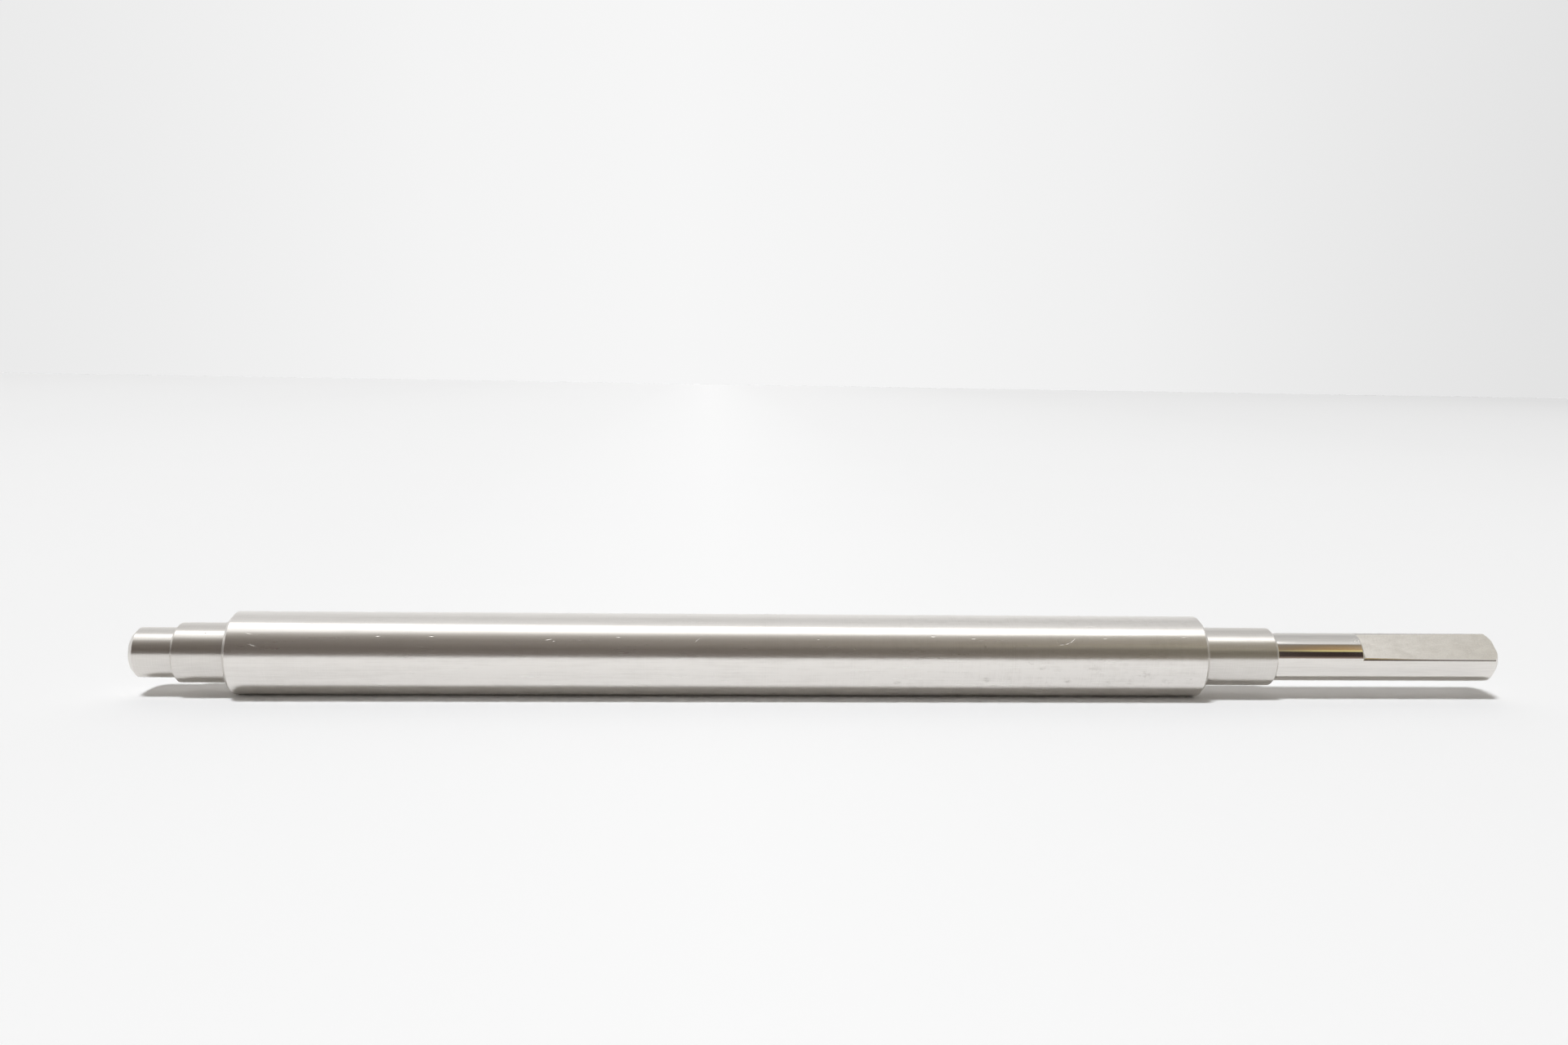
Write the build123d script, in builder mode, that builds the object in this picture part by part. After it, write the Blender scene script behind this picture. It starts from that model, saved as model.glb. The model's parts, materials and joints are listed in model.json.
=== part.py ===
from build123d import *
from math import cos, radians, sin, tan
import os

# A stepped shaft, turned between centres from one steel bar.
#
# The thick body carries the load. A bearing seat, or journal, lies at each end of it, and past the
# journals the bar steps down once more: to a short spigot at the tail, and to a long drive end whose
# last stretch is milled to a D, so that a hub or a coupling cannot slip round on it.
#
# Frame, in millimetres: the axis is X, with the drive end towards +X, and +Z is up. The origin is on
# the axis, in the middle of the drive journal. The shaft lies down, so it rests on its body, which
# is its thickest stretch.

# ---------------------------------------------------------------- driving dimensions

# Turned diameters.
body_diameter = 25.0
journal_diameter = 18.0
end_diameter = 15.0

# Turned lengths, from the tail to the drive end.
spigot_length = 13.0
tail_journal_length = 16.0
body_length = 296.0
drive_journal_length = 23.0
drive_end_length = 72.0

# The flat milled on the drive end.
flat_length = 44.0
flat_depth = 2.0
flat_elevation = 50.0  # degrees above the horizontal that the flat faces, on the -Y side

# Edges: 45 degree chamfers on the rims, rounded roots that keep cracks from starting there, and the
# fine break that takes the burr off the milled edges.
body_chamfer = 1.0
journal_chamfer = 0.6
end_chamfer = 1.5
journal_root_radius = 0.5
end_root_radius = 0.65
flat_edge_break = 0.2
shoulder_share = 0.45  # the most of a shoulder's height that its chamfer, or its root, may take up

# The centre holes that held the bar between the lathe's centres.
centre_pilot_diameter = 3.15
centre_mouth_diameter = 6.7
centre_depth = 8.0
centre_cone_angle = 60.0
drill_point_angle = 120.0

# ---------------------------------------------------------------- derived sizes

body_radius = body_diameter / 2
journal_radius = journal_diameter / 2
end_radius = end_diameter / 2

# The turned stretches from the tail to the drive end: radius, length, and the chamfer of its rims.
stretches = [
    (end_radius, spigot_length, end_chamfer),
    (journal_radius, tail_journal_length, journal_chamfer),
    (body_radius, body_length, body_chamfer),
    (journal_radius, drive_journal_length, journal_chamfer),
    (end_radius, drive_end_length, end_chamfer),
]

# Places along the axis of the faces between the stretches, and of the two end faces.
drive_shoulder_x = -drive_journal_length / 2
tail_face_x = drive_shoulder_x - body_length - tail_journal_length - spigot_length
faces_x = [tail_face_x]
for radius, length, rim_chamfer in stretches:
    faces_x.append(faces_x[-1] + length)
drive_face_x = faces_x[-1]


# ---------------------------------------------------------------- the half section


def turned_outline():
    """The upper half of the lengthwise section, with square corners, as (x, radius) points."""
    points = [(tail_face_x, 0)]
    for (radius, length, rim_chamfer), start_x in zip(stretches, faces_x):
        points.append((start_x, radius))
        points.append((start_x + length, radius))
    points.append((drive_face_x, 0))
    return list(dict.fromkeys(points))


def shoulders():
    """Each step between two stretches: its place, its rim and root radii, and their edge breaks."""
    steps = []
    for left, right, face_x in zip(stretches, stretches[1:], faces_x[1:]):
        low, high = sorted([left, right])
        height = high[0] - low[0]
        if height > 0:
            root_radius = journal_root_radius if high[0] == body_radius else end_root_radius
            rim_chamfer = min(high[2], shoulder_share * height)
            steps.append((face_x, high[0], low[0], rim_chamfer, min(root_radius, shoulder_share * height)))
    return steps


def corner(section, x, radius):
    """The corner of the half section at this place along the axis and this radius."""
    return section.vertices().sort_by_distance(Vector(x, radius, 0))[0]


def centre_hole_outline(face_x, inward):
    """Half of a centre hole: a 60 degree seat for the lathe's centre, a pilot and its drill point."""
    pilot_radius = centre_pilot_diameter / 2
    mouth_radius = centre_mouth_diameter / 2
    cone_depth = (mouth_radius - pilot_radius) / tan(radians(centre_cone_angle / 2))
    point_depth = pilot_radius / tan(radians(drill_point_angle / 2))
    return [
        (face_x, 0),
        (face_x, mouth_radius),
        (face_x + inward * cone_depth, pilot_radius),
        (face_x + inward * (centre_depth - point_depth), pilot_radius),
        (face_x + inward * centre_depth, 0),
    ]


# ---------------------------------------------------------------- the shaft

# The flat's shoulder stands square to the axis. Its plane looks along the shaft, and its Y direction
# is the way that the flat faces.
flat_angle = radians(flat_elevation)
flat_start_x = drive_face_x - flat_length
flat_shoulder = Plane(
    origin=(flat_start_x, 0, 0),
    x_dir=(0, sin(flat_angle), cos(flat_angle)),
    z_dir=(1, 0, 0),
)

# The half section is drawn on the side away from the flat, so that the seam which its turning leaves
# in the solid's round faces never meets a milled edge.
section_plane = Plane(origin=(0, 0, 0), x_dir=(1, 0, 0), z_dir=flat_shoulder.x_dir)

with BuildPart() as shaft:
    # Turning: the half section, with its chamfers and roots, goes once round the axis.
    with BuildSketch(section_plane) as half_section:
        with BuildLine():
            Polyline(*turned_outline(), close=True)
        make_face()
        for face_x, rim, root, rim_chamfer, root_radius in shoulders():
            chamfer(corner(half_section, face_x, rim), rim_chamfer)
            fillet(corner(half_section, face_x, root), root_radius)
        for face_x in (tail_face_x, drive_face_x):
            chamfer(corner(half_section, face_x, end_radius), end_chamfer)
        for face_x, inward in ((tail_face_x, 1), (drive_face_x, -1)):
            with BuildLine():
                Polyline(*centre_hole_outline(face_x, inward), close=True)
            make_face(mode=Mode.SUBTRACT)
    revolve(axis=Axis.X)

    # Milling: everything above the flat is cut away, from its shoulder out past the drive face.
    with BuildSketch(flat_shoulder):
        with Locations((0, end_radius - flat_depth)):
            Rectangle(end_diameter, end_radius, align=(Align.CENTER, Align.MIN))
    extrude(amount=flat_length, mode=Mode.SUBTRACT)

    # Deburring: every milled edge is broken, apart from the root where the flat meets its shoulder.
    flat_face = shaft.faces().filter_by(Axis((0, 0, 0), flat_shoulder.y_dir))[0]
    square_faces = shaft.faces().filter_by(Axis.X)
    shoulder_face = square_faces.filter_by_position(Axis.X, flat_start_x, flat_start_x)[0]
    flat_rims = flat_face.edges().sort_by(Axis.X)[1:]
    shoulder_rims = shoulder_face.edges().filter_by(GeomType.CIRCLE)
    chamfer(flat_rims + shoulder_rims, flat_edge_break)

shaft.part.label = "stepped_shaft"

os.makedirs("parts", exist_ok=True)
export_step(shaft.part, "parts/stepped_shaft.step")
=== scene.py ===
# %% [markdown]
# # A stepped steel shaft
# The object is one piece of steel, turned on a lathe between centres and milled flat along one end.
# Its form is simple, so nearly everything that the eye reads comes from how the metal was finished:
# fine turning on the body, ground journals, a polished drive end and a milled flat. This script
# models the shaft again at a high resolution, gives each of those finishes its own material, and
# lights it the way shiny round things are lit, with a large soft source above a white sweep.

# %% Load the frame
import json
import math

import bmesh
import bpy
from mathutils import Matrix, Vector


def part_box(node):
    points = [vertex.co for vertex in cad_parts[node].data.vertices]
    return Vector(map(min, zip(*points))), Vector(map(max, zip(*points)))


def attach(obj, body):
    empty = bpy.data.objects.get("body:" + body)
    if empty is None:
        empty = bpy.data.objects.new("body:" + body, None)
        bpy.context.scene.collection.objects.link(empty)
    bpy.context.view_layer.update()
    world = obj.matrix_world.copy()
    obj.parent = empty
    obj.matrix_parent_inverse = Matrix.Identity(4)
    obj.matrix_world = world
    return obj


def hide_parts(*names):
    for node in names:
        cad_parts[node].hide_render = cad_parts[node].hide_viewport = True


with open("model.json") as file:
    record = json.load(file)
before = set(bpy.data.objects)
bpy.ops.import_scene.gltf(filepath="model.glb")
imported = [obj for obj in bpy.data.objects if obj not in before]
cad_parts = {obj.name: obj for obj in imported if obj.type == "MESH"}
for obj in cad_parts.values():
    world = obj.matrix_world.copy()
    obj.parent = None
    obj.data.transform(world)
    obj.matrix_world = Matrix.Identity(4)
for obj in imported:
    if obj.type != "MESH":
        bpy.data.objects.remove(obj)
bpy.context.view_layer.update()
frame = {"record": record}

# %% [markdown]
# ## Sizes
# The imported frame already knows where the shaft's faces are, so the places along the axis and the
# radii are read from it. Only the small edge breaks and the centre holes, which the frame doesn't
# name, are written here.

# %% Read the shaft's sizes from the frame
MM = 0.001
SAME_PLACE = 0.001 * MM  # a point this near another, or this near a plane, counts as lying in it
SAME_RADIUS = 0.005 * MM  # a ring has straight sides, and this allows for how far they lie inside the circle
SHAFT = "stepped_shaft"
low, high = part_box(SHAFT)
mounts = {mount["name"]: mount for mount in frame["record"]["mounts"]}


def mount_x(name):
    """Where a mount lies along the axis."""
    return mounts[name]["pos_m"][0]


body_radius = high.z
journal_radius = mounts["drive_journal"]["dims"]["r_mm"] * MM
end_radius = mounts["tail_spigot"]["dims"]["r_mm"] * MM

tail_face_x = low.x
drive_face_x = high.x
tail_shoulder_x = mount_x("tail_shoulder")
drive_shoulder_x = mount_x("drive_shoulder")
tail_step_x = 2 * mount_x("tail_journal") - tail_shoulder_x
drive_step_x = 2 * mount_x("drive_journal") - drive_shoulder_x

flat_normal = Vector(mounts["drive_flat"]["axis"])
flat_height = Vector(mounts["drive_flat"]["pos_m"]).dot(flat_normal)
flat_start_x = 2 * mount_x("drive_flat") - drive_face_x
flat_angle = math.atan2(flat_normal.z, -flat_normal.y)
floor_z = -body_radius
print("radii in mm:", [round(r / MM, 2) for r in (body_radius, journal_radius, end_radius)])
print("faces along the axis in mm:", [round(x / MM, 1) for x in (
    tail_face_x, tail_step_x, tail_shoulder_x, drive_shoulder_x, drive_step_x, flat_start_x, drive_face_x)])

# %% Name the edge breaks and the centre holes
body_chamfer = 1.0 * MM
journal_chamfer = 0.6 * MM
end_chamfer = 1.5 * MM
journal_root = 0.5 * MM
end_root = 0.65 * MM
centre_pilot_radius = 1.575 * MM
centre_mouth_radius = 3.35 * MM
centre_pilot_depth = 7.1 * MM
centre_depth = 8.0 * MM
centre_cone_angle = math.radians(60)
centre_cone_depth = (centre_mouth_radius - centre_pilot_radius) / math.tan(centre_cone_angle / 2)
print("the cone of each centre hole is", round(centre_cone_depth / MM, 2), "mm deep")

# %% [markdown]
# ## The camera
# The camera comes before any modelling, so that every later step can be judged through it. It
# stands low in front of the shaft, on the side that the flat faces, and about level with the middle of
# the body, so both of the body's shoulders look away from it. It is turned a little to the right,
# which alone would make the shaft run uphill, and it leans over by a degree, which brings it back to
# nearly level.

# %% Set up the camera
camera_x = -165.6 * MM
camera_distance = 395.5 * MM
camera_elevation = math.radians(13.0)
camera_heading = math.radians(3.44)
camera_dip = math.radians(7.05)
camera_roll = math.radians(1.0)
camera_lens = 29.23  # in millimetres, as the sensor's width is
camera_sensor_width = 36


def camera_axes(heading, dip, roll):
    """The camera's right, up and forward directions for a heading towards +X, a dip and a roll."""
    forward = Vector((math.sin(heading) * math.cos(dip), math.cos(heading) * math.cos(dip), -math.sin(dip)))
    level = forward.cross(Vector((0, 0, 1))).normalized()
    upright = level.cross(forward)
    right = math.cos(roll) * level + math.sin(roll) * upright
    return right, right.cross(forward), forward


right, up, forward = camera_axes(camera_heading, camera_dip, camera_roll)
bpy.ops.object.camera_add(location=(
    camera_x, -camera_distance * math.cos(camera_elevation), camera_distance * math.sin(camera_elevation)))
camera = bpy.context.object
camera.name = "camera"
camera.rotation_euler = Matrix((right, up, -forward)).transposed().to_euler()
camera.data.sensor_width = camera_sensor_width
camera.data.lens = camera_lens
camera.data.clip_start = 10 * MM
bpy.context.scene.camera = camera
print("camera at", [round(v, 4) for v in camera.location])

# %% [markdown]
# ## Turning the blank
# On a lathe the bar spins and the tool follows an outline. The same outline could be spun here from
# a profile curve, but extruding one ring from the next, and scaling each to its radius, gives the
# same surface with the rings in order, and every shoulder stays a clean loop of edges that can be
# chamfered afterwards. It starts at the bottom of one centre hole and ends at the bottom of the
# other, so the two holes come with it. The ring has many sides, because a polished cylinder shows
# every facet in its reflections, and one corner of it points the way the flat will face, so that the
# flat's two edges come to lie alike among the facets.

# %% Write the outline
RING_SIDES = 160
turned_outline = [
    (tail_face_x + centre_pilot_depth, centre_pilot_radius),
    (tail_face_x + centre_cone_depth, centre_pilot_radius),
    (tail_face_x, centre_mouth_radius),
    (tail_face_x, end_radius),
    (tail_step_x, end_radius),
    (tail_step_x, journal_radius),
    (tail_shoulder_x, journal_radius),
    (tail_shoulder_x, body_radius),
    (drive_shoulder_x, body_radius),
    (drive_shoulder_x, journal_radius),
    (drive_step_x, journal_radius),
    (drive_step_x, end_radius),
    (drive_face_x, end_radius),
    (drive_face_x, centre_mouth_radius),
    (drive_face_x - centre_cone_depth, centre_pilot_radius),
    (drive_face_x - centre_pilot_depth, centre_pilot_radius),
]
print("the outline has", len(turned_outline), "corners")

# %% Write helpers for edit mode


def select_only(piece):
    """Makes one piece the only one selected, and the active one."""
    bpy.ops.object.select_all(action="DESELECT")
    piece.select_set(True)
    bpy.context.view_layer.objects.active = piece


def start_edit(piece):
    """Selects one piece alone, and opens it in edit mode."""
    select_only(piece)
    bpy.ops.object.mode_set(mode="EDIT")


def end_edit():
    """Goes back to object mode."""
    bpy.ops.object.mode_set(mode="OBJECT")


def select_where(piece, kind, wanted):
    """Selects the edit mesh's verts, edges or faces that wanted says yes to, and counts them."""
    modes = {"verts": "VERT", "edges": "EDGE", "faces": "FACE"}
    bpy.ops.mesh.select_mode(type=modes[kind])
    bpy.ops.mesh.select_all(action="DESELECT")
    mesh = bmesh.from_edit_mesh(piece.data)
    chosen = [item for item in getattr(mesh, kind) if wanted(item)]
    for item in chosen:
        item.select_set(True)
    mesh.select_flush_mode()
    bmesh.update_edit_mesh(piece.data)
    return len(chosen)


def apply_place(piece):
    """Writes an object's place, turn and scale into its mesh, so that it sits unturned at the origin."""
    select_only(piece)
    bpy.ops.object.transform_apply(location=True, rotation=True, scale=True)


def close_to_point(depth):
    """Draws the selected ring on along the axis to one point, as the tip of a drill leaves it."""
    bpy.ops.mesh.extrude_region_move(TRANSFORM_OT_translate={"value": (depth, 0, 0)})
    bpy.ops.mesh.merge(type="CENTER")


# %% Extrude the outline ring by ring
bpy.ops.object.select_all(action="DESELECT")
first_x, first_radius = turned_outline[0]
bpy.ops.mesh.primitive_circle_add(
    vertices=RING_SIDES, radius=first_radius, location=(first_x, 0, 0), rotation=(0, math.pi / 2, 0))
shaft = bpy.context.object
shaft.name = "turned_shaft"
apply_place(shaft)
shaft.rotation_euler = (-flat_angle, 0, 0)
apply_place(shaft)
start_edit(shaft)
bpy.ops.mesh.select_all(action="SELECT")
for (x, radius), (next_x, next_radius) in zip(turned_outline, turned_outline[1:]):
    bpy.ops.mesh.extrude_region_move(TRANSFORM_OT_translate={"value": (next_x - x, 0, 0)})
    growth = next_radius / radius
    bpy.ops.transform.resize(value=(1, growth, growth), center_override=(next_x, 0, 0))
close_to_point(centre_pilot_depth - centre_depth)
select_where(shaft, "verts", lambda vert: abs(vert.co.x - first_x) < SAME_PLACE)
close_to_point(centre_depth - centre_pilot_depth)
bpy.ops.mesh.select_all(action="SELECT")
bpy.ops.mesh.remove_doubles(threshold=SAME_PLACE)
bpy.ops.mesh.normals_make_consistent(inside=False)
end_edit()
print("turned blank:", len(shaft.data.vertices), "points,", len(shaft.data.polygons), "faces")

# %% [markdown]
# ## Chamfers and roots
# Every outer edge of a turned part gets a chamfer, so that it doesn't cut and so that a bearing
# starts easily. Every inner corner is a small round, left by the nose of the tool. Both are bevels
# of the same kind of edge loop: one segment cuts a chamfer, and many segments round a root.

# %% Write helpers that bevel a ring


def ring_at(x, radius):
    """A test for the edges of the ring at this place along the axis and this radius."""
    def on_ring(point):
        from_axis = math.hypot(point.y, point.z)
        return abs(point.x - x) < SAME_PLACE and abs(from_axis - radius) < SAME_RADIUS
    return lambda edge: all(on_ring(vert.co) for vert in edge.verts)


def bevel_ring(x, radius, size, segments):
    """Chamfers the ring of edges at a rim, or rounds it at a root."""
    edges = select_where(shaft, "edges", ring_at(x, radius))
    bpy.ops.mesh.bevel(offset=size, segments=segments, affect="EDGES", clamp_overlap=False)
    print("bevelled", edges, "edges at x", round(x / MM, 1), "mm")


# %% Bevel the rims and the roots
ROOT_SEGMENTS = 8
rims = [
    (tail_face_x, end_radius, end_chamfer),
    (tail_step_x, journal_radius, journal_chamfer),
    (tail_shoulder_x, body_radius, body_chamfer),
    (drive_shoulder_x, body_radius, body_chamfer),
    (drive_step_x, journal_radius, journal_chamfer),
    (drive_face_x, end_radius, end_chamfer),
]
roots = [
    (tail_step_x, end_radius, end_root),
    (tail_shoulder_x, journal_radius, journal_root),
    (drive_shoulder_x, journal_radius, journal_root),
    (drive_step_x, end_radius, end_root),
]
start_edit(shaft)
for x, radius, size in rims:
    bevel_ring(x, radius, size, 1)
for x, radius, size in roots:
    bevel_ring(x, radius, size, ROOT_SEGMENTS)
end_edit()

# %% [markdown]
# ## Milling the flat
# The flat is what an end mill takes off as it runs along the bar: everything above one plane, from a
# square shoulder out to the end. A boolean cut with a block says exactly that.

# %% Cut the flat with a block
cutter_overrun = 5 * MM
cutter_width = 3 * end_radius
cutter_length = drive_face_x + cutter_overrun - flat_start_x
cutter_height = end_radius
bpy.ops.object.select_all(action="DESELECT")
bpy.ops.mesh.primitive_cube_add(
    size=1, location=(flat_start_x + cutter_length / 2, 0, 0),
    scale=(cutter_length, cutter_width, cutter_height))
cutter = bpy.context.object
cutter.name = "flat_cutter"
apply_place(cutter)
start_edit(cutter)
bpy.ops.mesh.select_all(action="SELECT")
bpy.ops.transform.translate(value=(0, 0, flat_height + cutter_height / 2))
end_edit()
cutter.rotation_euler = (math.pi / 2 - flat_angle, 0, 0)
apply_place(cutter)


def apply_modifier(piece, kind, **settings):
    """Adds one modifier with these settings and applies it."""
    select_only(piece)
    bpy.ops.object.modifier_add(type=kind)
    modifier = piece.modifiers[-1]
    for name, value in settings.items():
        setattr(modifier, name, value)
    bpy.ops.object.modifier_apply(modifier=modifier.name)


apply_modifier(shaft, "BOOLEAN", operation="DIFFERENCE", solver="EXACT", object=cutter)
bpy.data.objects.remove(cutter)
print("after milling:", len(shaft.data.polygons), "faces")

# %% [markdown]
# The cutter leaves sharp edges, and a file takes them off in one round stroke. The break is no wider
# than a pencil line, but it turns through every direction between its two faces, so it gathers the
# whole room into one thread: bright at the shoulder, and dark between two lights along the flat. The
# break is wider than the facet that the flat's edge lies in, so that facet is first joined to the next.
# The line between those two facets lies 45 degrees round from the middle of the flat.

# %% Find the milled edges and the facets beside them
AT_THE_CUT = 2 * SAME_PLACE


def on_milled_edge(edge):
    """Whether an edge lies where the milling cut through the round surface."""
    def on_edge(point):
        rise = point.dot(flat_normal) - flat_height
        on_round = math.hypot(point.y, point.z) > end_radius - SAME_RADIUS
        at_shoulder = abs(point.x - flat_start_x) < SAME_PLACE
        return on_round and (abs(rise) < AT_THE_CUT or at_shoulder and rise > -AT_THE_CUT)
    return all(on_edge(vert.co) for vert in edge.verts)


def beside_milled_edge(edge):
    """Whether an edge is the line between the facets beside the flat, on either side of it."""
    def on_line(point):
        from_axis = math.hypot(point.y, point.z)
        outside_the_hole = from_axis > centre_mouth_radius + MM
        return outside_the_hole and abs(point.dot(flat_normal) - from_axis * math.sqrt(0.5)) < AT_THE_CUT
    first_end, last_end = sorted(vert.co.x for vert in edge.verts)
    along_the_flat = last_end > flat_start_x and last_end - first_end > MM
    return along_the_flat and all(on_line(vert.co) for vert in edge.verts)


# %% Break the edges of the flat and of its shoulder
flat_break = 0.55 * MM
BREAK_SEGMENTS = 6
start_edit(shaft)
joined = select_where(shaft, "edges", beside_milled_edge)
bpy.ops.mesh.dissolve_edges(use_verts=True)
print("joined facets across", joined, "edges")
broken_edges = select_where(shaft, "edges", on_milled_edge)
bpy.ops.mesh.bevel(offset=flat_break, segments=BREAK_SEGMENTS, affect="EDGES", clamp_overlap=False)
bpy.ops.mesh.select_all(action="SELECT")
bpy.ops.mesh.remove_doubles(threshold=SAME_PLACE / 10)
end_edit()
print("broke", broken_edges, "edges round the flat")

# %% [markdown]
# ## Smooth faces and true edges
# A ground cylinder has to shade as one smooth surface, and its chamfers as crisp narrow bands.
# Smoothing by angle keeps the chamfers' edges sharp and lets each root flow into its cylinder.
# Weighted normals then let the long faces keep their true direction beside the tiny root faces.

# %% Smooth the turned faces
SMOOTH_BELOW = math.radians(20)
select_only(shaft)
bpy.ops.object.shade_smooth_by_angle(angle=SMOOTH_BELOW)
apply_modifier(shaft, "WEIGHTED_NORMAL", mode="FACE_AREA", weight=100, keep_sharp=True)
print("shaft box in mm:", [round(v / MM, 2) for v in shaft.dimensions])

# %% [markdown]
# ## The metal
# It is one bar of bright steel, a little warm in its whites. On a real shaft the colour never
# changes from one stretch to the next: only the finish does, so every material here shares the same
# steel and differs in roughness and in the marks that its tool left. A turned surface is a very fine
# thread, so it blurs reflections along the axis and keeps them sharp around it. Anisotropy does that,
# with a tangent that runs round the axis and is then turned by a quarter.

# %% Mix the steel
STEEL = (0.84, 0.812, 0.778, 1)
DULL_STEEL = (0.68, 0.652, 0.615, 1)
QUARTER_TURN = 0.25


def new_steel(name, roughness, anisotropy=0.0):
    """A steel material, its node tree and its shader. Anisotropic steel has its tangent along the axis."""
    material = bpy.data.materials.new(name)
    material.use_nodes = True
    tree = material.node_tree
    shader = tree.nodes["Principled BSDF"]
    shader.inputs["Base Color"].default_value = STEEL
    shader.inputs["Metallic"].default_value = 1
    shader.inputs["Roughness"].default_value = roughness
    shader.inputs["Anisotropic"].default_value = anisotropy
    if anisotropy:
        tangent = tree.nodes.new("ShaderNodeTangent")
        tangent.direction_type = "RADIAL"
        tangent.axis = "X"
        tree.links.new(tangent.outputs["Tangent"], shader.inputs["Tangent"])
        shader.inputs["Anisotropic Rotation"].default_value = QUARTER_TURN
    return material, tree, shader


# %% Write helpers for shader nodes


def feed(tree, value, socket):
    """Links a socket to an input, or writes a plain value on it."""
    if isinstance(value, bpy.types.NodeSocket):
        tree.links.new(value, socket)
    elif value is not None:
        socket.default_value = value


def maths(tree, operation, first, second=None, third=None):
    """A Math node, fed by sockets or plain numbers."""
    node = tree.nodes.new("ShaderNodeMath")
    node.operation = operation
    for value, socket in zip((first, second, third), node.inputs):
        feed(tree, value, socket)
    return node.outputs["Value"]


def weighted_sum(tree, *parts):
    """The sum of several values, each given as a pair of the value and its weight."""
    total = 0.0
    for value, weight in parts:
        total = maths(tree, "MULTIPLY_ADD", value, weight, total)
    return total


def spread(tree, value, from_range, to_range):
    """A Map Range node: from_range of the value becomes to_range, and stays inside it."""
    node = tree.nodes.new("ShaderNodeMapRange")
    feed(tree, value, node.inputs["Value"])
    node.inputs["From Min"].default_value, node.inputs["From Max"].default_value = from_range
    node.inputs["To Min"].default_value, node.inputs["To Max"].default_value = to_range
    return node.outputs["Result"]


def blend_colours(tree, share, first, second):
    """A colour that goes from first to second with the share."""
    node = tree.nodes.new("ShaderNodeMix")
    node.data_type = "RGBA"
    feed(tree, share, node.inputs["Factor"])
    feed(tree, first, node.inputs["A"])
    feed(tree, second, node.inputs["B"])
    return node.outputs["Result"]


def dull_by(tree, shader, tone):
    """Gives the shader bright steel where the tone is 0, and dull steel where it is 1."""
    tree.links.new(blend_colours(tree, tone, STEEL, DULL_STEEL), shader.inputs["Base Color"])


# %% [markdown]
# ## Marks that every tool leaves
# Each kind of mark is one noise in the shaft's own coordinates, stretched the way its tool moved.
# Feed lines run round the shaft, so their noise changes along the axis alone. Streaks from drawing
# and wiping run along it, so theirs is stretched about twenty times in X. Both stay on the metal when
# the shaft is turned or seen from the back.

# %% Draw feed lines and streaks


def shaft_place(tree, stretch=(1, 1, 1)):
    """A place on the shaft, or on the table, in metres, with each direction multiplied by its stretch."""
    place = tree.nodes.new("ShaderNodeTexCoord")
    scale = tree.nodes.new("ShaderNodeVectorMath")
    scale.operation = "MULTIPLY"
    tree.links.new(place.outputs["Object"], scale.inputs[0])
    scale.inputs[1].default_value = stretch
    return scale.outputs["Vector"]


def shaft_axes(tree):
    """The X, Y and Z of a place on the shaft, or on the table, in metres."""
    axes = tree.nodes.new("ShaderNodeSeparateXYZ")
    tree.links.new(shaft_place(tree), axes.inputs["Vector"])
    return axes.outputs


def grain(tree, stretch, detail=2.0, roughness=0.5, distortion=0.0):
    """Noise over the shaft. The stretch is how many grains fit in a metre in X, Y and Z."""
    node = tree.nodes.new("ShaderNodeTexNoise")
    tree.links.new(shaft_place(tree, stretch), node.inputs["Vector"])
    node.inputs["Scale"].default_value = 1.0
    node.inputs["Detail"].default_value = detail
    node.inputs["Roughness"].default_value = roughness
    node.inputs["Distortion"].default_value = distortion
    return node.outputs["Fac"]


def feed_lines(tree, per_metre):
    """Fine lines round the shaft, as the lathe's feed leaves them: 0 to 1, and 0.5 in the middle."""
    return grain(tree, (per_metre, 0, 0), detail=3.0, roughness=0.7)


def streaks(tree, length, width):
    """Thin streaks along the shaft, about this long and this wide in metres."""
    return grain(tree, (1 / length, 1 / width, 1 / width), detail=3.0, roughness=0.6)


def bump(tree, shader, height, depth):
    """Feeds a height to the shader's normal. A height of 1 stands for this depth in metres."""
    node = tree.nodes.new("ShaderNodeBump")
    node.inputs["Strength"].default_value = 1.0
    node.inputs["Distance"].default_value = depth
    tree.links.new(height, node.inputs["Height"])
    tree.links.new(node.outputs["Normal"], shader.inputs["Normal"])


# %% [markdown]
# ## Nicks and smudges
# A shaft that has lain in a bin with others has a few small dents, whose edges catch the light, and
# hands leave smudges on it. Each mark is an ellipsoid set into the surface at a
# chosen place: so far along the axis, and so many degrees up from the front. The place is first
# shaken by a fine noise, so that every mark has a ragged edge of its own. A list of marks gives for
# each how far along it lies in millimetres, its degrees up, its length and its width, and then, where
# they matter, how many degrees it leans and how strong it is.

# %% Set marks into a finish


def ragged_place(tree, shake, grains_per_metre):
    """A place on the shaft, shaken by up to half of shake in each direction."""
    place = tree.nodes.new("ShaderNodeTexCoord")
    noise = tree.nodes.new("ShaderNodeTexNoise")
    tree.links.new(place.outputs["Object"], noise.inputs["Vector"])
    noise.inputs["Scale"].default_value = grains_per_metre
    noise.inputs["Detail"].default_value = 3.0
    shaken = tree.nodes.new("ShaderNodeVectorMath")
    shaken.operation = "MULTIPLY_ADD"
    tree.links.new(noise.outputs["Color"], shaken.inputs[0])
    shaken.inputs[1].default_value = (shake, shake, shake)
    tree.links.new(place.outputs["Object"], shaken.inputs[2])
    centred = tree.nodes.new("ShaderNodeVectorMath")
    centred.operation = "SUBTRACT"
    tree.links.new(shaken.outputs["Vector"], centred.inputs[0])
    centred.inputs[1].default_value = (shake / 2, shake / 2, shake / 2)
    return centred.outputs["Vector"]


MARK_CORE = 0.2  # the share of a mark, from its middle, that has its full strength
MARK_DEPTH = 0.04 * MM  # how deep a nick or a pit goes


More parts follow.
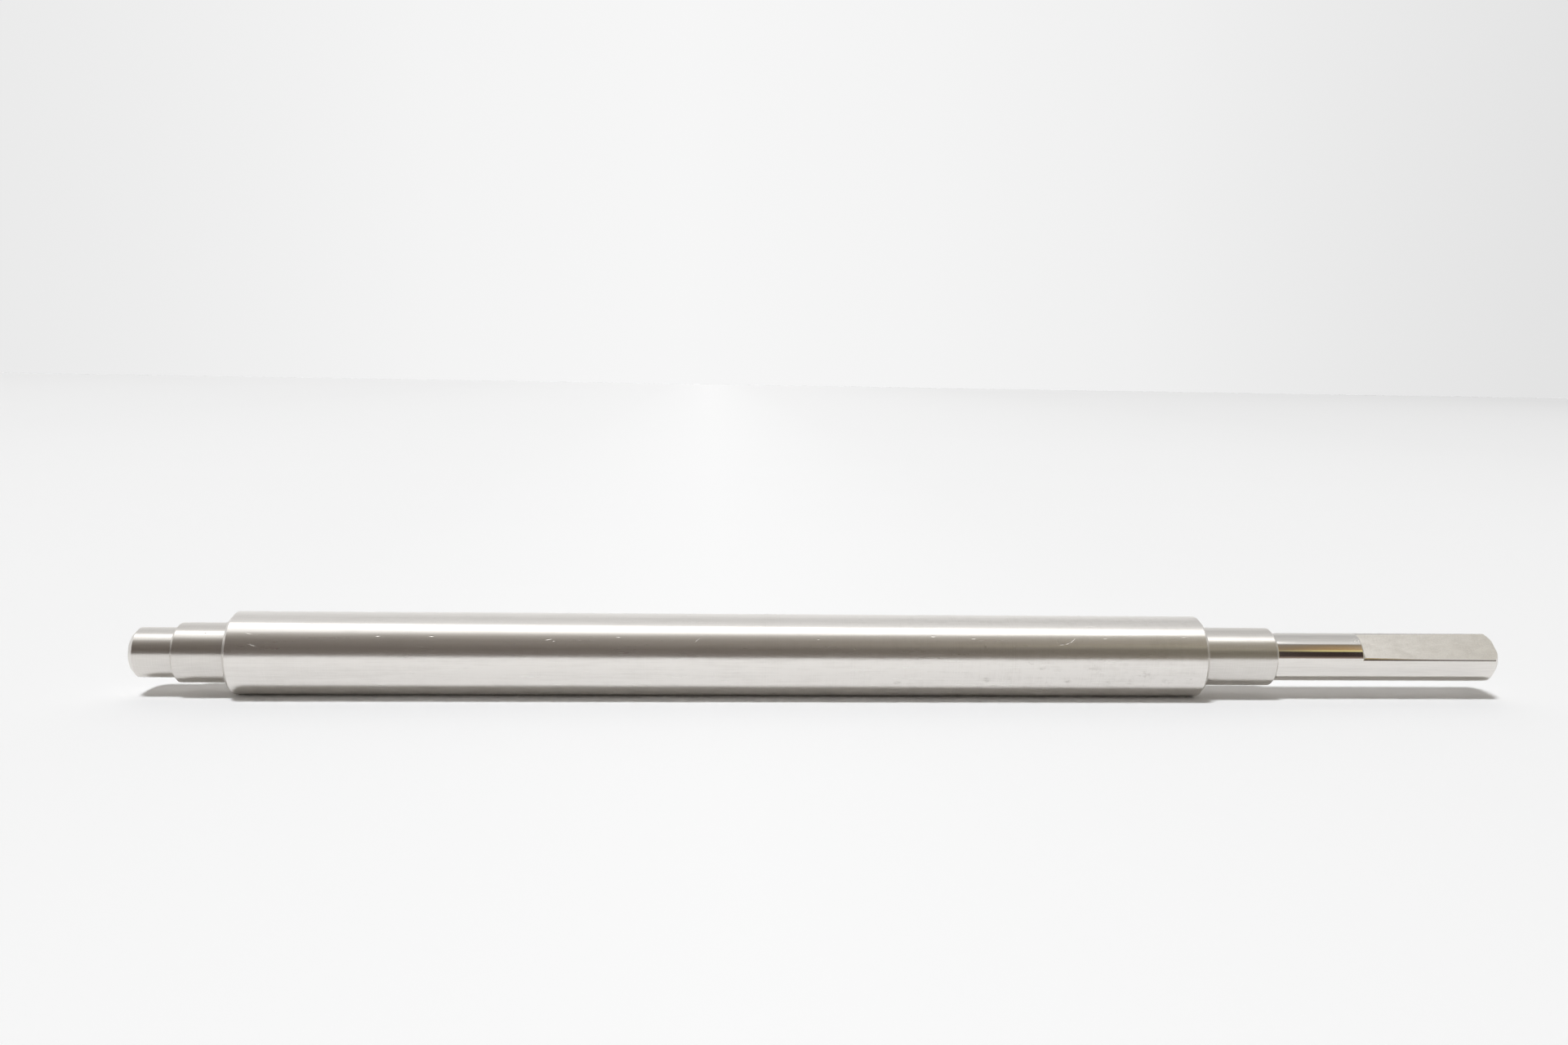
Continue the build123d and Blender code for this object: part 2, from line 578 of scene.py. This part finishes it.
def mark(tree, place, radius, along, degrees, length, width, lean=0.0, strength=1.0):
    """How much a place lies in one mark, up to its strength. Lengths are in mm, and angles in degrees."""
    up = math.radians(degrees)
    turn = Matrix.Rotation(math.pi / 2 - up, 3, "X") @ Matrix.Rotation(math.radians(lean), 3, "Z")
    local = tree.nodes.new("ShaderNodeMapping")
    local.vector_type = "TEXTURE"
    local.inputs["Location"].default_value = (along * MM, -radius * math.cos(up), radius * math.sin(up))
    local.inputs["Rotation"].default_value = turn.to_euler("XYZ")
    local.inputs["Scale"].default_value = (length * MM / 2, width * MM / 2, MM)
    tree.links.new(place, local.inputs["Vector"])
    distance = tree.nodes.new("ShaderNodeVectorMath")
    distance.operation = "LENGTH"
    tree.links.new(local.outputs["Vector"], distance.inputs[0])
    return spread(tree, distance.outputs["Value"], (MARK_CORE, 1.0), (strength, 0.0))


def all_marks(tree, place, radius, marks):
    """The strongest of several marks at each place."""
    strongest = None
    for one_mark in marks:
        share = mark(tree, place, radius, *one_mark)
        strongest = share if strongest is None else maths(tree, "MAXIMUM", strongest, share)
    return strongest


# %% [markdown]
# ## The turned body
# It has the coarsest finish of the round parts: feed lines that show best towards the drive end,
# faint streaks in its dark band, a few nicks, one curved scratch, and dull smudges low on its front.
# Large pale clouds under all of these keep the broad light band from looking like paint.

# %% Choose the marks on the body
body_nicks = [
    (-298.6, 23, 3.4, 0.3, -20),
    (-300, 40, 2.6, 0.28, -15, 0.6),
    (-262.6, 37, 1.6, 0.4),
    (-247, 37, 1.8, 0.4),
    (-249.7, 22, 3.0, 0.2, 0, 0.5),
    (-212.6, 33, 2.6, 0.34, 10),
    (-211, 31, 0.9, 0.4),
    (-192, 37, 1.6, 0.3, 0, 0.7),
    (-168.5, 33, 2.6, 0.28, 45),
    (-132, 35, 0.8, 0.4, 0, 0.7),
    (-121, 21, 0.8, 0.7),
    (-113.8, 36, 0.35, 2.8, 4, 0.35),
    (-111, 37, 0.35, 2.2, 0, 0.3),
    (-101.2, 35, 0.3, 3.2, 0, 0.5),
    (-97, 40, 1.5, 0.4, 0, 0.75),
    (-84.7, 37, 1.7, 0.4, 0, 0.75),
    (-79.8, 31, 0.3, 1.2, 0, 0.8),
    (-58.9, 33, 0.8, 1.8),
    (-57.6, 28.6, 1.8, 0.28, 4),
    (-55.9, 30.2, 2.2, 0.28, 20),
    (-54.2, 34.6, 2.8, 0.28, 40),
    (-56.0, 22, 0.25, 2.2, 0, 0.3),
    (-44, 38, 1.4, 0.3, 0, 0.7),
    (-19.4, 41, 1.5, 0.4, 0, 0.5),
    (-48, 58, 3.2, 0.3, 6, 0.8),
]
body_smudges = [
    (-108, -31, 3.6, 2.6),
    (-103.9, -33, 2.2, 2.0),
    (-93.3, -35, 1.8, 1.2),
    (-81, 24, 2.2, 0.8),
    (-80.7, -22, 3.6, 2.0),
    (-73.6, -21, 2.4, 2.0),
    (-67.9, -34, 1.8, 1.4),
    (-66.9, 3, 6.0, 0.6),
    (-64, -3, 4.4, 2.0),
    (-61.2, -33, 2.6, 1.8),
    (-55.6, -25, 3.0, 1.6),
    (-47.5, -6, 3.6, 2.6),
    (-43, -27, 2.4, 1.8),
    (-35.9, -29, 3.4, 2.0),
    (-32, -14, 5.0, 2.2),
    (-24.8, -27, 5.0, 2.4),
    (-17, -18, 3.0, 2.0),
]
print("the body has", len(body_nicks), "nicks and", len(body_smudges), "smudges")

# %% Finish the body
body_steel, tree, shader = new_steel("turned_body", 0.30, 0.9)
lines = feed_lines(tree, 2200)
long_streaks = streaks(tree, 14 * MM, 0.6 * MM)
drive_side = spread(tree, shaft_axes(tree)["X"], (-160 * MM, -90 * MM), (0.35, 1.0))
nicks = all_marks(tree, ragged_place(tree, 0.35 * MM, 2500), body_radius, body_nicks)
smudges = all_marks(tree, ragged_place(tree, 4.0 * MM, 500), body_radius, body_smudges)
smudge_grain = spread(tree, grain(tree, (500, 1400, 1400), detail=3.0), (0.42, 0.62), (0.15, 1.0))
smear = maths(tree, "MULTIPLY", smudges, smudge_grain)
clouds = maths(tree, "SUBTRACT", grain(tree, (60, 160, 160), detail=4.0, roughness=0.6), 0.5)
fine_clouds = maths(tree, "SUBTRACT", grain(tree, (420, 520, 520), detail=4.0), 0.5)
mottling = maths(tree, "MULTIPLY", fine_clouds, drive_side)
tone = weighted_sum(
    tree,
    (maths(tree, "SUBTRACT", lines, 0.5), drive_side),
    (maths(tree, "SUBTRACT", long_streaks, 0.45), 1.0),
    (clouds, 0.8),
    (mottling, 0.9),
    (smear, 1.1))
dull_by(tree, shader, tone)
roughness = weighted_sum(tree, (spread(tree, long_streaks, (0.3, 0.7), (0.27, 0.33)), 1.0), (smear, 0.08))
nick_roughness = maths(tree, "MULTIPLY", nicks, 0.68)
tree.links.new(maths(tree, "MAXIMUM", roughness, nick_roughness), shader.inputs["Roughness"])
height = weighted_sum(tree, (lines, 0.05), (long_streaks, 0.10), (nicks, -1.0))
bump(tree, shader, height, MARK_DEPTH)
print("body finish:", len(tree.nodes), "nodes")

# %% [markdown]
# ## The journals
# The bearings sit here, so these stretches are ground after turning. Their lines are finer and their
# bands more even, and a pit or two is left where the grinding didn't reach.

# %% Finish the journals
journal_steel, tree, shader = new_steel("ground_journal", 0.33, 0.9)
lines = feed_lines(tree, 4200)
short_streaks = streaks(tree, 6 * MM, 0.5 * MM)
journal_pits = [
    (1.6, 30, 0.7, 0.5, 0, 0.8),
    (6.2, 15, 0.6, 0.5, 0, 0.45),
    (-4, 24, 1.4, 0.25, 20, 0.5),
    (-314, 52, 1.0, 0.3),
]
pits = all_marks(tree, ragged_place(tree, 0.3 * MM, 3000), journal_radius, journal_pits)
line_tone = maths(tree, "SUBTRACT", lines, 0.2)
streak_tone = spread(tree, short_streaks, (0.35, 0.65), (0.0, 0.3))
dull_by(tree, shader, weighted_sum(tree, (line_tone, 1.1), (streak_tone, 1.0)))
roughness = spread(tree, lines, (0.3, 0.7), (0.30, 0.36))
pit_roughness = maths(tree, "MULTIPLY", pits, 0.6)
tree.links.new(maths(tree, "MAXIMUM", roughness, pit_roughness), shader.inputs["Roughness"])
height = weighted_sum(tree, (lines, 0.05), (short_streaks, 0.06), (pits, -1.0))
bump(tree, shader, height, MARK_DEPTH)
print("journal finish:", len(journal_pits), "pits")

# %% [markdown]
# ## The polished drive end
# This stretch takes a hub that has to slide on, so it is polished until it mirrors the room. It keeps
# a few hairlines round it, and close to the flat's shoulder the cutter's chatter has left a row of
# small bright specks.

# %% Set the cutter's chatter beside the shoulder
end_steel, tree, shader = new_steel("polished_end", 0.09)
chatter_fade_in = (flat_start_x - 5.5 * MM, flat_start_x - 2 * MM)
chatter_fade_out = (flat_start_x - 0.4 * MM, flat_start_x)
row_foot = (5.2 * MM, 5.6 * MM)
row_head = (6.3 * MM, 7.4 * MM)
place = shaft_axes(tree)
beside_shoulder = maths(
    tree, "MULTIPLY",
    spread(tree, place["X"], chatter_fade_in, (0.0, 1.0)),
    spread(tree, place["X"], chatter_fade_out, (1.0, 0.0)))
chatter_row = maths(
    tree, "MULTIPLY",
    spread(tree, place["Z"], row_foot, (0.0, 1.0)),
    spread(tree, place["Z"], row_head, (1.0, 0.25)))
chatter_specks = spread(tree, grain(tree, (2600, 3200, 3200), detail=1.0), (0.53, 0.62), (0.0, 1.0))
chatter = maths(tree, "MULTIPLY", maths(tree, "MULTIPLY", beside_shoulder, chatter_row), chatter_specks)
print("chatter row from", [round(x / MM, 1) for x in chatter_fade_in], "mm along the axis")

# %% Finish the drive end
hairlines = feed_lines(tree, 5200)
drawn_streaks = streaks(tree, 10 * MM, 0.4 * MM)
hairline_tone = spread(tree, hairlines, (0.3, 0.8), (0.0, 0.3))
streak_tone = spread(tree, drawn_streaks, (0.4, 0.7), (0.0, 0.4))
dull_by(tree, shader, maths(tree, "ADD", hairline_tone, streak_tone))
roughness = spread(tree, hairlines, (0.3, 0.7), (0.07, 0.11))
chatter_roughness = maths(tree, "MULTIPLY", chatter, 0.40)
tree.links.new(maths(tree, "MAXIMUM", roughness, chatter_roughness), shader.inputs["Roughness"])
height = weighted_sum(tree, (hairlines, 0.02), (drawn_streaks, 0.03), (chatter, 0.25))
bump(tree, shader, height, 0.02 * MM)
print("drive end finish:", len(tree.nodes), "nodes")

# %% [markdown]
# ## The milled flat
# An end mill leaves shallow curved sweeps across the flat, one a little further along than the next,
# and the cut between them looks cloudy and matte, with a few bright dabs where a chip was dragged.
# The sweeps are rings about points on the flat's middle line, and a noise breaks them up.

# %% Draw the cutter's sweeps
flat_steel, tree, shader = new_steel("milled_flat", 0.42)
sweep_radius = end_radius * 1.3
sweep_feed = 0.9 * MM
sweep_wander = 2.0 * MM
across = tree.nodes.new("ShaderNodeVectorMath")
across.operation = "DOT_PRODUCT"
tree.links.new(shaft_place(tree), across.inputs[0])
across.inputs[1].default_value = (0, math.sin(flat_angle), math.cos(flat_angle))
bow = maths(tree, "SUBTRACT", sweep_radius ** 2, maths(tree, "POWER", across.outputs["Value"], 2.0))
ring_reach = maths(tree, "SQRT", maths(tree, "MAXIMUM", bow, 0.0))
wander = maths(tree, "SUBTRACT", grain(tree, (300, 300, 300)), 0.5)
sweep_x = weighted_sum(tree, (shaft_axes(tree)["X"], 1.0), (ring_reach, 1.0), (wander, sweep_wander))
sweeps = maths(tree, "SINE", maths(tree, "MULTIPLY", sweep_x, 2 * math.pi / sweep_feed))
print("one sweep every", round(sweep_feed / MM, 2), "mm")

# %% Finish the flat
clouds = spread(tree, grain(tree, (260, 420, 420), detail=4.0, roughness=0.6), (0.35, 0.65), (0.0, 1.0))
specks = grain(tree, (2600, 2600, 2600), detail=2.0)
dabs = spread(tree, grain(tree, (800, 2200, 2200), detail=2.0, distortion=0.8), (0.66, 0.72), (0.0, 1.0))
tone = weighted_sum(
    tree,
    (clouds, 0.4),
    (maths(tree, "MULTIPLY", sweeps, clouds), 0.06),
    (spread(tree, specks, (0.45, 0.75), (0.25, 0.6)), 1.0),
    (dabs, -1.0))
dull_by(tree, shader, tone)
tree.links.new(spread(tree, clouds, (0.0, 1.0), (0.36, 0.48)), shader.inputs["Roughness"])
bump(tree, shader, weighted_sum(tree, (sweeps, 0.06), (specks, 0.5)), 0.03 * MM)
print("flat finish:", len(tree.nodes), "nodes")

# %% [markdown]
# ## The faced shoulders and ends
# Facing runs the tool straight in towards the axis, so its lines are rings. The rings follow the
# distance from the axis, and the same turned shine goes round them.

# %% Finish the faces
face_steel, tree, shader = new_steel("faced_shoulder", 0.3, 0.7)
distance = tree.nodes.new("ShaderNodeVectorMath")
distance.operation = "LENGTH"
tree.links.new(shaft_place(tree, (0, 1, 1)), distance.inputs[0])
rings = tree.nodes.new("ShaderNodeTexNoise")
rings.noise_dimensions = "1D"
tree.links.new(distance.outputs["Value"], rings.inputs["W"])
rings.inputs["Scale"].default_value = 4500
rings.inputs["Detail"].default_value = 3.0
tone = spread(tree, rings.outputs["Fac"], (0.3, 0.7), (0.0, 0.6))
dull_by(tree, shader, tone)
tree.links.new(spread(tree, rings.outputs["Fac"], (0.3, 0.7), (0.26, 0.36)), shader.inputs["Roughness"])
bump(tree, shader, rings.outputs["Fac"], 0.004 * MM)
print("shoulder finish:", len(tree.nodes), "nodes")

# %% [markdown]
# ## Giving each stretch its finish
# The finishes change where the tool changed, so they follow the steps: each face of the shaft is
# sorted by its place along the axis and by the way it looks.

# %% Sort the faces by finish
ALONG_THE_FLAT = 0.999  # how nearly a face of the flat looks the way the flat does
TOWARDS_AN_END = 0.3  # a face that looks along the axis more than this is a shoulder, a chamfer or an end
finishes = [body_steel, journal_steel, end_steel, flat_steel, face_steel]
for finish in finishes:
    shaft.data.materials.append(finish)


def finish_of(face):
    """Which finish a face has, from its centre and its direction."""
    centre, normal = face.calc_center_median(), face.normal
    in_the_flat = centre.dot(flat_normal) < flat_height + 10 * SAME_PLACE and centre.x > flat_start_x
    if in_the_flat and normal.dot(flat_normal) > ALONG_THE_FLAT:
        return flat_steel
    if abs(normal.x) > TOWARDS_AN_END:
        return face_steel
    if tail_shoulder_x < centre.x < drive_shoulder_x:
        return body_steel
    if centre.x > drive_step_x:
        return end_steel
    return journal_steel


start_edit(shaft)
for index, finish in enumerate(finishes):
    count = select_where(shaft, "faces", lambda face: finish_of(face) == finish)
    shaft.active_material_index = index
    bpy.ops.object.material_slot_assign()
    print(finish.name, "on", count, "faces")
end_edit()

# %% [markdown]
# ## The table
# The shaft lies on a white table that runs on behind it without an edge. The table only has to be
# white and dull, and to take the shaft's shadow. Its colour also holds painted light: its white is
# painted brightest at a spot near the middle of the shaft and sinks slowly to both sides, as it does
# under a lamp that stands close. A colour ramp along X paints that falloff without another lamp, whose
# falloff would be harder to set.

# %% Write helpers for colour ramps


def grey(level):
    """A neutral colour of this level."""
    return (level, level, level)


def colour_ramp(tree, share, stops):
    """A colour that follows a share of 0 to 1 through stops, given as (share, colour) in rising order."""
    node = tree.nodes.new("ShaderNodeValToRGB")
    tree.links.new(share, node.inputs["Fac"])
    elements = node.color_ramp.elements
    while len(elements) < len(stops):
        elements.new(0.5)
    for element, (position, colour) in zip(elements, stops):
        element.position = position
        element.color = (*colour, 1)
    return node.outputs["Color"]


# %% Lay the table
table_reach = 6.0  # in metres, to each side
# painted light: the table is centred here, where the glow painted into its colour is brightest
painted_glow_x = -0.16
bpy.ops.mesh.primitive_plane_add(size=2 * table_reach, location=(painted_glow_x, 0, floor_z))
table = bpy.context.object
table.name = "white_table"
table_white = bpy.data.materials.new("table_white")
table_white.use_nodes = True
tree = table_white.node_tree
shader = tree.nodes["Principled BSDF"]
shader.inputs["Roughness"].default_value = 0.9
shader.inputs["Specular IOR Level"].default_value = 0.0
table.data.materials.append(table_white)
print("table at z", round(floor_z / MM, 2), "mm")

# %% Paint a lamp's falloff into the table's white, sinking to both sides by level and by metres from the brightest spot
# painted light: these levels paint a close lamp's falloff into the table's white, by metres along X from the
# brightest spot
painted_glow_levels = [(-3.0, 0.81), (-1.0, 0.86), (-0.2, 0.905), (0.0, 0.95), (0.2, 0.90), (1.1, 0.83), (3.7, 0.73)]
painted_glow_share = spread(tree, shaft_axes(tree)["X"], (-table_reach, table_reach), (0.0, 1.0))
painted_glow_stops = [(0.5 + metres / (2 * table_reach), grey(level)) for metres, level in painted_glow_levels]
tree.links.new(colour_ramp(tree, painted_glow_share, painted_glow_stops), shader.inputs["Base Color"])
print("table levels:", [level for metres, level in painted_glow_levels])

# %% [markdown]
# ## The room
# Polished and turned steel has hardly any look of its own: every band along the shaft is a part of the
# room. So the room is painted as carefully as the metal. A ray that leaves the metal is sorted twice.
# Its angle, from level in front, up over the top, to level behind, picks a colour from a ramp: white
# near the table, dim and warm in front, and bright overhead and behind. Its share of X says how far to
# the left or the right it goes, and so which ramp it gets. The tail looks into the left of the room,
# the body into its middle, and the drive end into its right, where there is a darker stretch, a narrow
# golden strip and then a pale corner. A model of a room could do this too, but painted bands are
# easier to set, one at a time, against what each stretch of steel should show.

# %% Sort the directions in the room
world = bpy.data.worlds.new("studio_room")
bpy.context.scene.world = world
world.use_nodes = True
room = world.node_tree
background = room.nodes["Background"]
direction = room.nodes.new("ShaderNodeTexCoord")
ray_axes = room.nodes.new("ShaderNodeSeparateXYZ")
room.links.new(direction.outputs["Generated"], ray_axes.inputs["Vector"])
towards_front = maths(room, "MULTIPLY", ray_axes.outputs["Y"], -1.0)
front_angle = maths(room, "ARCTAN2", ray_axes.outputs["Z"], towards_front)
half_turn = maths(room, "MULTIPLY", front_angle, 1 / math.pi)


def room_bands(bands):
    """The room's colours along a half circle, from bands given as (degrees up from the front, colour)."""
    return colour_ramp(room, half_turn, [(degrees / 180, colour) for degrees, colour in bands])


def across_room(first, last, axis="X"):
    """A smooth share of 0 to 1, between a direction with this much of an axis and one with that much."""
    node = room.nodes.new("ShaderNodeMapRange")
    node.interpolation_type = "SMOOTHSTEP"
    node.inputs["From Min"].default_value = first
    node.inputs["From Max"].default_value = last
    room.links.new(ray_axes.outputs[axis], node.inputs["Value"])
    return node.outputs["Result"]


# %% Paint the middle of the room, which the body sees
bright_back = [(100, grey(0.95)), (113, grey(0.80)), (130, grey(0.70)), (150, grey(0.84)), (175, grey(0.88))]
middle_bands = room_bands([
    (1.5, grey(0.95)),
    (3, (0.18, 0.157, 0.149)),
    (26, (0.17, 0.149, 0.139)),
    (36, (0.24, 0.215, 0.204)),
    (50, (0.30, 0.276, 0.262)),
    (64, (0.48, 0.455, 0.425)),
    (77, (0.88, 0.86, 0.84)),
    *bright_back,
])
far_middle_bands = room_bands([
    (0.5, grey(0.95)),
    (2, (0.165, 0.143, 0.133)),
    (26, (0.125, 0.108, 0.100)),
    (36, (0.165, 0.143, 0.132)),
    (50, (0.225, 0.200, 0.183)),
    (64, (0.37, 0.345, 0.320)),
    (77, (0.86, 0.84, 0.82)),
    *bright_back,
])

# %% Paint the left of the room, which the tail sees
left_bands = room_bands([
    (4, grey(0.95)),
    (5.5, (0.15, 0.129, 0.117)),
    (40, (0.122, 0.105, 0.094)),
    (50, (0.125, 0.107, 0.096)),
    (57, (0.165, 0.146, 0.130)),
    (64, (0.26, 0.238, 0.216)),
    (70, (0.42, 0.396, 0.370)),
    (76, grey(0.97)),
    (100, grey(0.95)),
    (113, grey(0.80)),
    (130, grey(0.74)),
    (150, grey(0.84)),
    (175, grey(0.88)),
])

# %% Paint the right of the room, which the drive end sees
dimmer_back = [(78, grey(0.88)), (85, grey(0.80)), (96, grey(0.68)), (133, grey(0.56)), (160, grey(0.76))]
right_bands = room_bands([
    (1, grey(0.90)),
    (3, (0.48, 0.43, 0.39)),
    (7, (0.36, 0.30, 0.26)),
    (12, (0.16, 0.125, 0.11)),
    (15, (0.070, 0.054, 0.048)),
    (36, (0.062, 0.050, 0.045)),
    (40, (0.30, 0.262, 0.198)),
    (44, (0.29, 0.25, 0.185)),
    (47, (0.26, 0.205, 0.148)),
    (63, (0.25, 0.215, 0.18)),
    (74, (0.25, 0.23, 0.21)),
    *dimmer_back,
])
golden_bands = room_bands([
    (1, grey(0.90)),
    (3, (0.46, 0.40, 0.36)),
    (7, (0.34, 0.275, 0.235)),
    (12, (0.14, 0.10, 0.085)),
    (15, (0.040, 0.025, 0.022)),
    (36, (0.030, 0.018, 0.016)),
    (39.5, (1.0, 0.90, 0.38)),
    (43, (0.98, 0.82, 0.34)),
    (46, (0.48, 0.31, 0.12)),
    (63, (0.36, 0.25, 0.13)),
    (74, (0.24, 0.20, 0.15)),
    *dimmer_back,
])
end_bands = room_bands([
    (1, grey(0.90)),
    (4, (0.19, 0.172, 0.160)),
    (33, (0.16, 0.145, 0.135)),
    (39, grey(0.92)),
    (60, grey(0.80)),
    (85, grey(0.76)),
    (96, grey(0.66)),
    (133, grey(0.56)),
    (160, grey(0.76)),
])

# %% Join the bands from side to side, each between two shares of X
SOFT_YELLOW = (0.52, 0.49, 0.26, 1)
WARM_GREY = (0.36, 0.345, 0.325, 1)
bands_to_the_side = [
    ((-0.15, -0.38), left_bands),
    ((0.08, 0.34), far_middle_bands),
    ((0.33, 0.41), right_bands),
    ((0.41, 0.46), golden_bands),
    ((0.47, 0.50), end_bands),
]
seen_by_metal = middle_bands
for (start, whole), bands in bands_to_the_side:
    seen_by_metal = blend_colours(room, across_room(start, whole), seen_by_metal, bands)
in_front = across_room(0.15, -0.05, "Y")
front_right = maths(room, "MULTIPLY", across_room(0.54, 0.60), in_front)
right_wall = blend_colours(room, across_room(0.66, 0.78), SOFT_YELLOW, WARM_GREY)
seen_by_metal = blend_colours(room, front_right, seen_by_metal, right_wall)
print("the metal sees", len(bands_to_the_side) + 1, "sets of bands and a wall at the right")

# %% [markdown]
# ## The wall behind the table
# The camera itself sees none of those bands. For its rays the room is one pale wall, brightest in the
# middle, which Light Path's Is Camera Ray tells apart. Dull things such as the table get only a
# quarter of the room's light, because the lamps are there for them.

# %% Paint the pale wall
wall_share = maths(room, "MULTIPLY_ADD", ray_axes.outputs["X"], 0.5, 0.5)
pale_wall = colour_ramp(room, wall_share, [
    (0.15, grey(0.77)), (0.29, grey(0.84)), (0.40, grey(0.905)), (0.49, grey(0.925)), (0.58, grey(0.905)),
    (0.66, grey(0.87)), (0.78, grey(0.77))])
path = room.nodes.new("ShaderNodeLightPath")
room_colour = blend_colours(room, path.outputs["Is Camera Ray"], seen_by_metal, pale_wall)
room.links.new(room_colour, background.inputs["Color"])

# %% Dim the room for dull things
strength_on_dull = 0.25
room_strength = maths(room, "MULTIPLY_ADD", path.outputs["Is Diffuse Ray"], strength_on_dull - 1.0, 1.0)
room.links.new(room_strength, background.inputs["Strength"])
print("the room has", len(room.nodes), "nodes")

# %% [markdown]
# ## The lights
# One wide softbox hangs over the shaft, a little askew: it is the white band along the top of every
# turned stretch. A dimmer panel in front of it lets that band fall off softly. Both are there for the
# metal alone. Three lamps light the table: a fairly sharp one, nearly overhead, throws the thin shadow
# under the shaft, and two very soft ones fill it from the front and from behind. They are kept out of
# the reflections, as in a studio, where a lamp is moved until it no longer shows in the metal.

# %% Hang the softbox and its spill
softbox_height = 0.8


def hang_panel(name, centre, size, radiance, turn=0.0):
    """A flat light above the shaft that faces down and doesn't light dull things. The turn is in degrees."""
    bpy.ops.object.light_add(
        type="AREA", location=(*centre, softbox_height), rotation=(0, 0, math.radians(turn)))
    panel = bpy.context.object
    panel.name = name
    panel.data.shape = "RECTANGLE"
    panel.data.size, panel.data.size_y = size
    panel.data.energy = radiance * math.pi * size[0] * size[1]
    panel.visible_diffuse = False
    print(name, "of", round(panel.data.energy, 3), "watts")


hang_panel("softbox", centre=(-0.19, -0.03), size=(1.12, 0.22), radiance=1.7, turn=-11)
hang_panel("softbox_spill", centre=(-0.19, -0.19), size=(1.12, 0.14), radiance=0.35)

# %% Aim the lamps that light the table
LAMP_PLACE = (0, -0.5, 1)  # a sun shines alike from anywhere, so this only keeps it clear of the shaft


def aim_lamp(name, lean, softness, strength, colour, to_the_left=0.0):
    """A sun that shiny surfaces don't see. It leans from overhead to the camera's side, in degrees."""
    bpy.ops.object.light_add(type="SUN", location=LAMP_PLACE)
    lamp = bpy.context.object
    lamp.name = name
    lamp.data.energy = strength
    lamp.data.color = colour
    lamp.data.angle = math.radians(softness)
    lamp.rotation_euler = (math.radians(lean), math.radians(-to_the_left), 0)
    lamp.visible_glossy = False
    print(name, "leans", lean, "degrees and is", softness, "degrees wide")


aim_lamp("shadow_lamp", lean=13, softness=11, strength=2.215, colour=(0.953, 0.972, 1), to_the_left=12)
aim_lamp("front_fill", lean=50, softness=80, strength=0.26, colour=(1, 0.94, 0.86))
aim_lamp("back_fill", lean=-55, softness=80, strength=0.85, colour=(1, 0.95, 0.88))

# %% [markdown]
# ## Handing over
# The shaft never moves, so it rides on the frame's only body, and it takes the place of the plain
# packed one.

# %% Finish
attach(shaft, "root")
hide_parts(SHAFT)
bpy.context.scene.view_settings.view_transform = "Standard"
